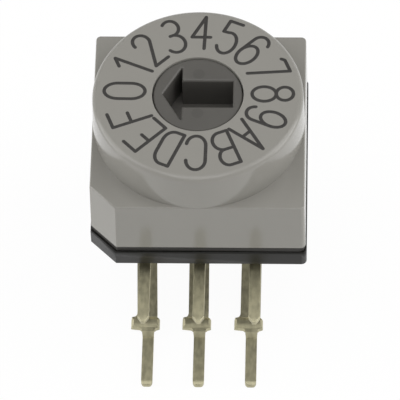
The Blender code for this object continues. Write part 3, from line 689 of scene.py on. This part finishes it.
class DIPSWITCH_OT_cover(bpy.types.Operator):
    """Cover: a keyed block with drafted sides, and a round dial with a filleted rim"""
    bl_idname = "dipswitch.cover"
    bl_label = "Cover"

    def execute(self, context):
        half = COVER_SIDE / 2
        cover = add_box("cover_shell", (-half, -half, COVER_FOOT), (half, half, COVER_TOP))
        edit(cover)
        pick_vertices(cover, lambda co: near(co.z, COVER_TOP))
        drafted = 1 - 2 * COVER_DRAFT / COVER_SIDE
        bpy.ops.transform.resize(value=(drafted, drafted, 1), center_override=(0, 0, COVER_TOP))

        def upright(edge):
            return run(edge).z > COVER_HEIGHT / 2

        def keyed(edge):
            return edge.verts[0].co.x < 0 and edge.verts[0].co.y < 0

        pick(cover, "EDGE", lambda edge: upright(edge) and keyed(edge))
        bpy.ops.mesh.bevel(offset=KEY_CHAMFER, segments=1)
        pick(cover, "EDGE", lambda edge: upright(edge) and not keyed(edge))
        bpy.ops.mesh.bevel(offset=COVER_CORNER, segments=6)
        pick_edges(cover, lambda co: near(co.z, COVER_TOP))
        bpy.ops.mesh.bevel(offset=COVER_EDGE, segments=3)
        leave()

        rim = arc((DIAL_RADIUS - DIAL_DRAFT - RIM_FILLET, DIAL_TOP - RIM_FILLET), (RIM_FILLET, RIM_FILLET),
                  90, 0, RIM_STEPS)
        dial = turned("dial", rim + [(DIAL_RADIUS + DIAL_DRAFT, COVER_TOP - OVERCUT)], DIAL_FACETS)
        combine(cover, dial, "UNION")
        combine(cover, turned("cavity", [
            (BORE_RADIUS, DIAL_TOP + OVERCUT),
            (BORE_RADIUS, DIAL_TOP - LIP_THICK),
            (SEAT_RADIUS, DIAL_TOP - LIP_THICK),
            (SEAT_RADIUS, CEILING),
            (CAVITY_RADIUS, CEILING),
            (CAVITY_RADIUS, COVER_FOOT - OVERCUT),
        ], TURNED_FACETS))
        place = CAVITY_RADIUS + NOTCH_DEPTH - NOTCH_RADIUS
        for i in range(POSITIONS):
            angle = FULL_TURN * i / POSITIONS
            notch = add_rod("notch", NOTCH_RADIUS, COVER_FOOT - 2 * OVERCUT, NOTCH_TOP,
                            (place * math.cos(angle), place * math.sin(angle)))
            combine(cover, notch)
        for x, y in ((PEG_PLACE, PEG_PLACE), (-PEG_PLACE, PEG_PLACE), (PEG_PLACE, -PEG_PLACE)):
            combine(cover, add_rod("peg_hole", PEG_HOLE_RADIUS, COVER_FOOT - OVERCUT, PEG_HOLE_TOP, (x, y)))

        edit(cover)
        pick_edges(cover, lambda co: near(co.z, DIAL_TOP) and near(radius_of(co), BORE_RADIUS))
        bpy.ops.mesh.bevel(offset=BORE_EDGE, segments=2)
        leave()
        even_shading(cover)
        finishes = context.scene.dip_switch_finishes
        seat(cover, cover_plastic(finishes.cover), "housing", "cover_plastic", "cover")
        return {"FINISHED"}


def arrow_tool():
    """The form of the driver slot: a head that points to -x, blunted at its two wings, and a stem."""
    tip = -ARROW_LENGTH / 2
    head = tip + ARROW_HEAD_LENGTH
    floor = ROTOR_TOP - ARROW_DEPTH
    top = ROTOR_TOP + OVERCUT
    arrow = add_box("arrow", (tip, -ARROW_HEAD_WIDTH / 2, floor), (head, ARROW_HEAD_WIDTH / 2, top))
    edit(arrow)
    pick_vertices(arrow, lambda co: near(co.x, tip))
    bpy.ops.transform.resize(value=(1, 0, 1), center_override=(0, 0, 0))
    merge_doubles()
    pick(arrow, "EDGE", lambda edge: all(near(v.co.x, head) for v in edge.verts)
         and run(edge).z > ARROW_DEPTH / 2)
    bpy.ops.mesh.bevel(offset=ARROW_BLUNT, segments=4)
    leave()
    combine(arrow, add_box("stem", (head - OVERCUT, -ARROW_STEM_WIDTH / 2, floor),
                           (-tip, ARROW_STEM_WIDTH / 2, top)), "UNION")
    edit(arrow)
    bpy.ops.mesh.select_all(action="SELECT")
    bpy.ops.transform.translate(value=(0, ARROW_SET, 0))
    leave()
    return arrow


class DIPSWITCH_OT_rotor(bpy.types.Operator):
    """Rotor: a turned form with an arrow slot for the driver"""
    bl_idname = "dipswitch.rotor"
    bl_label = "Rotor"

    def execute(self, context):
        rotor = turned("rotor_body", [
            (NECK_RADIUS - NECK_EDGE, ROTOR_TOP),
            (NECK_RADIUS, ROTOR_TOP - NECK_EDGE),
            (NECK_RADIUS, DRUM_TOP),
            (DRUM_RADIUS - DRUM_EDGE, DRUM_TOP),
            (DRUM_RADIUS, DRUM_TOP - DRUM_EDGE),
            (DRUM_RADIUS, DISC_TOP),
            (HUB_RADIUS, DISC_TOP),
            (HUB_RADIUS, DISC_FOOT),
            (PIVOT_RADIUS, DISC_FOOT),
            (PIVOT_RADIUS, PIVOT_TOP),
        ], TURNED_FACETS)
        combine(rotor, arrow_tool())
        edit(rotor)
        pick_edges(rotor, lambda co: near(co.z, ROTOR_TOP) and radius_of(co) < NECK_RADIUS - 2 * NECK_EDGE)
        bpy.ops.mesh.bevel(offset=ARROW_EDGE, segments=4, loop_slide=False)
        leave()
        deselect_all()
        bpy.ops.mesh.primitive_cylinder_add(
            vertices=SMALL_FACETS, radius=CROSS_BORE_RADIUS, depth=2 * (DRUM_RADIUS + OVERCUT),
            location=(0, 0, CROSS_BORE_HEIGHT), rotation=(0, math.pi / 2, 0))
        combine(rotor, added("cross_bore"))
        even_shading(rotor)
        finishes = context.scene.dip_switch_finishes
        seat(rotor, rotor_plastic(finishes.rotor), "rotor", "rotor_plastic", "rotor")
        return {"FINISHED"}


class DIPSWITCH_OT_dial_print(bpy.types.Operator):
    """Characters 0 to 9 and A to F printed round the dial"""
    bl_idname = "dipswitch.dial_print"
    bl_label = "Dial print"

    def execute(self, context):
        printing = context.scene.dip_switch_print
        curve = bpy.data.curves.new("dial_print", "CURVE")
        curve.dimensions = "3D"
        curve.bevel_depth = printing.stroke / 2
        curve.bevel_resolution = 2
        curve.use_fill_caps = True
        for position, strokes in enumerate(CHARACTERS.values()):
            angle = math.pi - FULL_TURN * position / POSITIONS - printing.turn
            outward = Vector((math.cos(angle), math.sin(angle)))
            across = Vector((outward.y, -outward.x))
            foot = outward * (printing.radius - printing.height / 2)
            foot += Vector((printing.shift_x, printing.shift_y))
            for stroke in strokes:
                stroke = [foot + (across * x + outward * y) * printing.height for x, y in stroke]
                for piece in cut_at_corners(stroke):
                    line = round_end(piece[0], piece[1], printing.stroke / 2)[::-1]
                    line += [(place, 1) for place in piece]
                    line += round_end(piece[-1], piece[-2], printing.stroke / 2)
                    spline = curve.splines.new("POLY")
                    spline.points.add(len(line) - 1)
                    for point, (place, width) in zip(spline.points, line):
                        point.co = (*place, 0, 1)
                        point.radius = width
        ink = bpy.data.objects.new("dial_print", curve)
        context.scene.collection.objects.link(ink)
        activate(ink)
        bpy.ops.object.convert(target="MESH")
        ink = context.active_object
        edit(ink)
        merge_doubles()
        flat = printing.film / (printing.stroke / 2)
        bpy.ops.transform.resize(value=(1, 1, flat), center_override=(0, 0, 0))
        bpy.ops.transform.translate(value=(0, 0, DIAL_TOP))
        leave()
        smooth_shading(ink)
        finishes = context.scene.dip_switch_finishes
        seat(ink, dial_ink(finishes.ink), "housing", "cover_plastic")
        return {"FINISHED"}


def smooth_copy(name):
    """A CAD node's own mesh, merged, with flat faces kept flat."""
    piece = copied(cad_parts[name], name + "_body")
    piece.parent = None
    piece.location = (0, 0, 0)
    edit(piece)
    merge_doubles()
    leave()
    even_shading(piece)
    return piece


class DIPSWITCH_OT_base(bpy.types.Operator):
    """Base and joint seal, which close the cover from behind"""
    bl_idname = "dipswitch.base"
    bl_label = "Base and joint seal"

    def execute(self, context):
        finishes = context.scene.dip_switch_finishes
        hand_over(smooth_copy("base"), base_plastic(finishes.base), "housing", "base_plastic", "base")
        # The joint seal is real rubber and also painted shade: its near-black stands in for the shadow in
        # the gap between cover and base
        hand_over(smooth_copy("joint_seal"), seal_rubber(finishes.rubber), "housing", "black_rubber",
                  "joint_seal")
        return {"FINISHED"}


# Terminals, each drawn as a flat blank: a station is a place along y, a level, a width and how far
# its middle stands to the right

def bent(centre, radius, start, end):
    """Places and levels round a bend."""
    return arc(centre, (radius, radius), start, end, BEND_STEPS)


def draw_blank(name, stations):
    """Draw a blank in edit mode by lengthening its end from station to station, then thicken it."""
    y, z, width, aside = stations[0]
    far = stations[1][0]
    middle = (y + far) / 2
    deselect_all()
    bpy.ops.mesh.primitive_plane_add(size=width, location=(0, middle, z))
    blank = added(name)
    edit(blank)
    bpy.ops.mesh.select_all(action="SELECT")
    bpy.ops.transform.resize(value=(1, abs(far - y) / width, 1), center_override=(0, middle, z))
    pick_edges(blank, lambda co: near(co.y, far))
    y = far
    for next_y, next_z, next_width, next_aside in stations[2:]:
        bpy.ops.mesh.extrude_region_move(
            TRANSFORM_OT_translate={"value": (next_aside - aside, next_y - y, next_z - z)})
        bpy.ops.transform.resize(value=(next_width / width, 1, 1),
                                 center_override=(next_aside, next_y, next_z))
        y, z, width, aside = next_y, next_z, next_width, next_aside
    bpy.ops.mesh.select_all(action="SELECT")
    bpy.ops.mesh.normals_make_consistent(inside=False)
    leave()
    apply_modifier(blank, "SOLIDIFY", thickness=SHEET, offset=0, use_even_offset=True)
    return blank


def leg(side, leg_width, pin_middle, bend):
    """Stations of the pad in the base, the leg and the bend towards the board."""
    neck = ROW_HALF - TIGHT_BEND - NECK_RUN
    low = pin_middle + bend
    stations = [
        (side * (ROW_HALF - PAD_REACH), PAD_MIDDLE, PAD_WIDTH, 0),
        (side * (neck - NECK_RUN), PAD_MIDDLE, PAD_WIDTH, 0),
        (side * neck, PAD_MIDDLE, leg_width, 0),
    ]
    top_bend = bent((ROW_HALF - TIGHT_BEND, PAD_MIDDLE - TIGHT_BEND), TIGHT_BEND, 90, 0)
    stations += [(side * y, z, leg_width, 0) for y, z in top_bend]
    low_bend = bent((side * ROW_HALF - bend, low), bend, 0, -90)
    return stations + [(y, z, leg_width, 0) for y, z in low_bend]


def break_edges(blank):
    apply_modifier(blank, "BEVEL", width=SHEET_EDGE, segments=2, limit_method="ANGLE",
                   angle_limit=BREAK_ANGLE)


def set_row(context, blank, row, side, pin_middle, reach, feet, sets):
    """Copy a terminal to the three places of its row, each leaning and swinging its own way."""
    finish = tin_plate(context.scene.dip_switch_finishes.tin)
    pitch = context.scene.dip_switch_terminals.pitch
    foot = side * ROW_HALF
    for (column, word), foot_set, pin_set in zip(COLUMNS, feet, sets):
        name = f"{row}_terminal_{word}"
        pin = copied(blank, name + "_plated")
        for vertex in pin.data.vertices:
            lean = min(max(vertex.co.z / pin_middle, 0), 1)
            swing = min(max((foot - vertex.co.y) / (foot - reach), 0), 1)
            over = foot_set + (pin_set - foot_set) * swing
            vertex.co.x += column * pitch + over * lean
        even_shading(pin)
        seat(pin, finish, "housing", "tin_plate", name)
    bpy.data.objects.remove(blank, do_unlink=True)


class DIPSWITCH_OT_upper_terminals(bpy.types.Operator):
    """Upper row: three short stamped pins with pointed ends"""
    bl_idname = "dipswitch.upper_terminals"
    bl_label = "Upper terminals"

    def execute(self, context):
        point = UPPER_TIP + POINT_LENGTH
        blank = draw_blank("upper_blank", leg(-1, PIN_WIDTH, UPPER_MIDDLE, UPPER_BEND) + [
            (point, UPPER_MIDDLE, PIN_WIDTH, 0),
            (UPPER_TIP, UPPER_MIDDLE, POINT_WIDTH, 0),
        ])
        top = UPPER_MIDDLE + SHEET / 2
        edit(blank)
        pick(blank, "EDGE", lambda edge: all(near(v.co.z, top) and v.co.y < point + SHEET_EDGE
                                             for v in edge.verts)
             and run(edge).y > POINT_LENGTH / 2)
        bpy.ops.mesh.bevel(offset=POINT_BEVEL, segments=1)
        leave()
        break_edges(blank)
        pins = context.scene.dip_switch_terminals.upper_set
        set_row(context, blank, "upper", -1, UPPER_MIDDLE, point, pins, pins)
        return {"FINISHED"}


class DIPSWITCH_OT_lower_terminals(bpy.types.Operator):
    """Lower row: three long stamped strips, each with a shoulder at the board and a narrow pin"""
    bl_idname = "dipswitch.lower_terminals"
    bl_label = "Lower terminals"

    def execute(self, context):
        end = BOARD_FACE + SHOULDER_BACK
        start = end + SHOULDER_LENGTH
        inner = SHOULDER_WIDTH - 2 * COINED_EDGE - 2 * COINED_GAP
        quarter = [math.pi / 2 * i / FLARE_STEPS for i in range(FLARE_STEPS + 1)]
        stations = leg(1, STRIP_WIDTH, STRIP_MIDDLE, LOWER_BEND)
        for angle in quarter:
            spread = 1 - math.cos(angle)
            stations.append((start + SHEET_EDGE + (SHOULDER_FLARE - SHEET_EDGE) * (1 - math.sin(angle)),
                             STRIP_MIDDLE, STRIP_WIDTH + (inner - STRIP_WIDTH) * spread,
                             SHOULDER_ASIDE * spread))
        stations += [
            (start, STRIP_MIDDLE, SHOULDER_WIDTH, SHOULDER_ASIDE),
            (end + SHEET_EDGE, STRIP_MIDDLE, SHOULDER_WIDTH, SHOULDER_ASIDE),
        ]
        for angle in reversed(quarter):
            y = end - ROOT_RUN * (1 - math.sin(angle))
            drop = min(max((end - ROOT_RUN + JOGGLE_RUN - y) / JOGGLE_RUN, 0), 1)
            stations.append((y, STRIP_MIDDLE - JOGGLE * drop,
                             PIN_WIDTH + (ROOT_WIDTH - PIN_WIDTH) * (1 - math.cos(angle)), PIN_ASIDE))
        blunt = []
        for i in range(BLUNT_STEPS + 1):
            angle = math.pi / 2 * i / BLUNT_STEPS
            blunt.append((LOWER_TIP + BLUNT_LENGTH * (1 - math.sin(angle)), math.cos(angle)))
        stations += [(y, LOWER_PIN_MIDDLE, BLUNT_WIDTH + (PIN_WIDTH - BLUNT_WIDTH) * full, PIN_ASIDE)
                     for y, full in blunt]
        blank = draw_blank("lower_blank", stations)

        top = STRIP_MIDDLE + SHEET / 2
        side = SHOULDER_WIDTH / 2
        edit(blank)
        pick(blank, "EDGE", lambda edge: all(near(v.co.z, top) and near(abs(v.co.x - SHOULDER_ASIDE), side)
                                             for v in edge.verts))
        bpy.ops.mesh.bevel(offset=COINED_EDGE, segments=1)
        # The tip is thinned, mostly from above
        for y, full in blunt:
            pick_vertices(blank, lambda co: near(co.y, y))
            thin = (BLUNT_THICK + (SHEET - BLUNT_THICK) * full) / SHEET
            bpy.ops.transform.resize(value=(1, 1, thin),
                                     center_override=(0, y, LOWER_PIN_MIDDLE - SHEET / 4))
        leave()
        break_edges(blank)
        terminals = context.scene.dip_switch_terminals
        set_row(context, blank, "lower", 1, STRIP_MIDDLE, start + SHOULDER_FLARE, terminals.foot_set,
                terminals.lower_set)
        return {"FINISHED"}


class DIPSWITCH_OT_inner_parts(bpy.types.Operator):
    """Finishes of the parts inside: code disc, contacts, detent and O-ring"""
    bl_idname = "dipswitch.inner_parts"
    bl_label = "Inner parts"

    def execute(self, context):
        finishes = context.scene.dip_switch_finishes
        gold = gold_plate(finishes.gold)
        steel = spring_steel(finishes.steel)
        rubber = seal_rubber(finishes.rubber)
        for name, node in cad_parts.items():
            if name.startswith("contact_spring") or name == "code_disc":
                finish = gold
            elif name.startswith("detent"):
                finish = steel
            elif name == "rotor_seal":
                finish = rubber
            else:
                continue
            for material_slot in node.material_slots:
                material_slot.material = finish
        return {"FINISHED"}


class DIPSWITCH_OT_stage(bpy.types.Operator):
    """Pale floor, soft light and the camera"""
    bl_idname = "dipswitch.stage"
    bl_label = "Stage"

    def execute(self, context):
        scene = context.scene
        self.floor(context)
        self.light(context)
        self.camera(context)
        scene.view_settings.view_transform = "Standard"
        return {"FINISHED"}

    def floor(self, context):
        deselect_all()
        bpy.ops.mesh.primitive_plane_add(size=FLOOR_SIZE, location=(0, HOUSING.y, CAD_BOX[0][2]))
        floor = added("floor")
        colour = context.scene.dip_switch_finishes.floor
        # Matte card. Where it is seen, straight or mirrored, it is mostly plain white, and the rest of it
        # keeps the shadow.
        material, tree, shader = new_material("pale_card", colour, roughness=0.9)
        rays = add_node(tree, "ShaderNodeLightPath")
        seen = rays.outputs["Is Camera Ray"]
        for ray in ("Is Glossy Ray", "Is Transmission Ray"):
            either = add_node(tree, "ShaderNodeMath", {0: seen, 1: rays.outputs[ray]}, operation="MAXIMUM")
            seen = either.outputs[0]
        part = add_node(tree, "ShaderNodeMath", {0: seen}, {1: PLAIN_WHITE}, operation="MULTIPLY")
        white = add_node(tree, "ShaderNodeEmission", values={"Color": (1, 1, 1, 1), "Strength": 1.0})
        blend = add_node(tree, "ShaderNodeMixShader", {"Fac": part.outputs[0], 1: shader.outputs["BSDF"],
                                                       2: white.outputs["Emission"]})
        tree.links.new(blend.outputs["Shader"], tree.nodes["Material Output"].inputs["Surface"])
        floor.data.materials.append(material)

    def light(self, context):
        world = bpy.data.worlds.new("light_tent")
        world.use_nodes = True
        context.scene.world = world
        tree = world.node_tree
        background = tree.nodes["Background"]
        background.inputs["Color"].default_value = (1, 1, 1, 1)
        sky = add_node(tree, "ShaderNodeTexCoord")
        parts = add_node(tree, "ShaderNodeSeparateXYZ", {"Vector": sky.outputs["Generated"]})
        height = add_node(tree, "ShaderNodeMath", {0: parts.outputs["Z"]}, operation="ABSOLUTE")
        glow = add_node(tree, "ShaderNodeMapRange", {"Value": height.outputs[0]},
                        {"From Max": TENT_FADE, "To Min": TENT_LOW, "To Max": TENT_HIGH})
        tree.links.new(glow.outputs["Result"], background.inputs["Strength"])
        target = HOUSING + Vector((0, 0, LAMP_AIM))
        for name, place, size, power in LAMPS:
            data = bpy.data.lights.new(name, "AREA")
            data.shape = "RECTANGLE"
            data.size, data.size_y = size
            data.energy = power
            lamp = bpy.data.objects.new(name, data)
            context.scene.collection.objects.link(lamp)
            lamp.location = HOUSING + Vector(place)
            lamp.rotation_euler = (target - lamp.location).to_track_quat("-Z", "Y").to_euler()

    def camera(self, context):
        data = bpy.data.cameras.new("camera")
        data.sensor_width = SENSOR
        data.lens = FOCAL_PIXELS / PICTURE * SENSOR
        data.clip_start = NEAREST_SEEN
        data.clip_end = FARTHEST_SEEN
        back = Vector((math.sin(CAMERA_TURN) * math.cos(CAMERA_ELEVATION),
                       -math.cos(CAMERA_TURN) * math.cos(CAMERA_ELEVATION),
                       math.sin(CAMERA_ELEVATION)))
        level = (-back).to_track_quat("-Z", "Y")
        turn = level @ Quaternion((0, 0, 1), CAMERA_ROLL)
        aim = turn @ Vector((*CAMERA_AIM, 0))
        camera = bpy.data.objects.new("camera", data)
        context.scene.collection.objects.link(camera)
        camera.location = HOUSING + aim + back * CAMERA_DISTANCE
        camera.rotation_euler = turn.to_euler()
        context.scene.camera = camera


PIECES = (DIPSWITCH_OT_cover, DIPSWITCH_OT_dial_print, DIPSWITCH_OT_rotor, DIPSWITCH_OT_base,
          DIPSWITCH_OT_upper_terminals, DIPSWITCH_OT_lower_terminals, DIPSWITCH_OT_inner_parts,
          DIPSWITCH_OT_stage)


class DIPSWITCH_PT_sidebar(bpy.types.Panel):
    """Lists the pieces of the switch and their sizes and colours"""
    bl_label = "Dip Switch"
    bl_space_type = "VIEW_3D"
    bl_region_type = "UI"
    bl_category = "Dip Switch"

    def draw(self, context):
        scene = context.scene
        for piece in PIECES:
            self.layout.operator(piece.bl_idname)
        for group in (scene.dip_switch_finishes, scene.dip_switch_print, scene.dip_switch_terminals):
            box = self.layout.box()
            for name in group.bl_rna.properties.keys():
                if name not in ("rna_type", "name"):
                    box.prop(group, name)


GROUPS = (
    ("dip_switch_finishes", DipSwitchFinishes),
    ("dip_switch_print", DipSwitchPrint),
    ("dip_switch_terminals", DipSwitchTerminals),
)


def register():
    for name, group in GROUPS:
        bpy.utils.register_class(group)
        setattr(bpy.types.Scene, name, bpy.props.PointerProperty(type=group))
    for piece in PIECES:
        bpy.utils.register_class(piece)
    bpy.utils.register_class(DIPSWITCH_PT_sidebar)


def unregister():
    bpy.utils.unregister_class(DIPSWITCH_PT_sidebar)
    for piece in reversed(PIECES):
        bpy.utils.unregister_class(piece)
    for name, group in reversed(GROUPS):
        delattr(bpy.types.Scene, name)
        bpy.utils.unregister_class(group)


def main():
    register()
    bpy.ops.dipswitch.cover()
    bpy.ops.dipswitch.dial_print()
    bpy.ops.dipswitch.rotor()
    bpy.ops.dipswitch.base()
    bpy.ops.dipswitch.upper_terminals()
    bpy.ops.dipswitch.lower_terminals()
    bpy.ops.dipswitch.inner_parts()
    bpy.ops.dipswitch.stage()


if __name__ == "__main__":
    main()
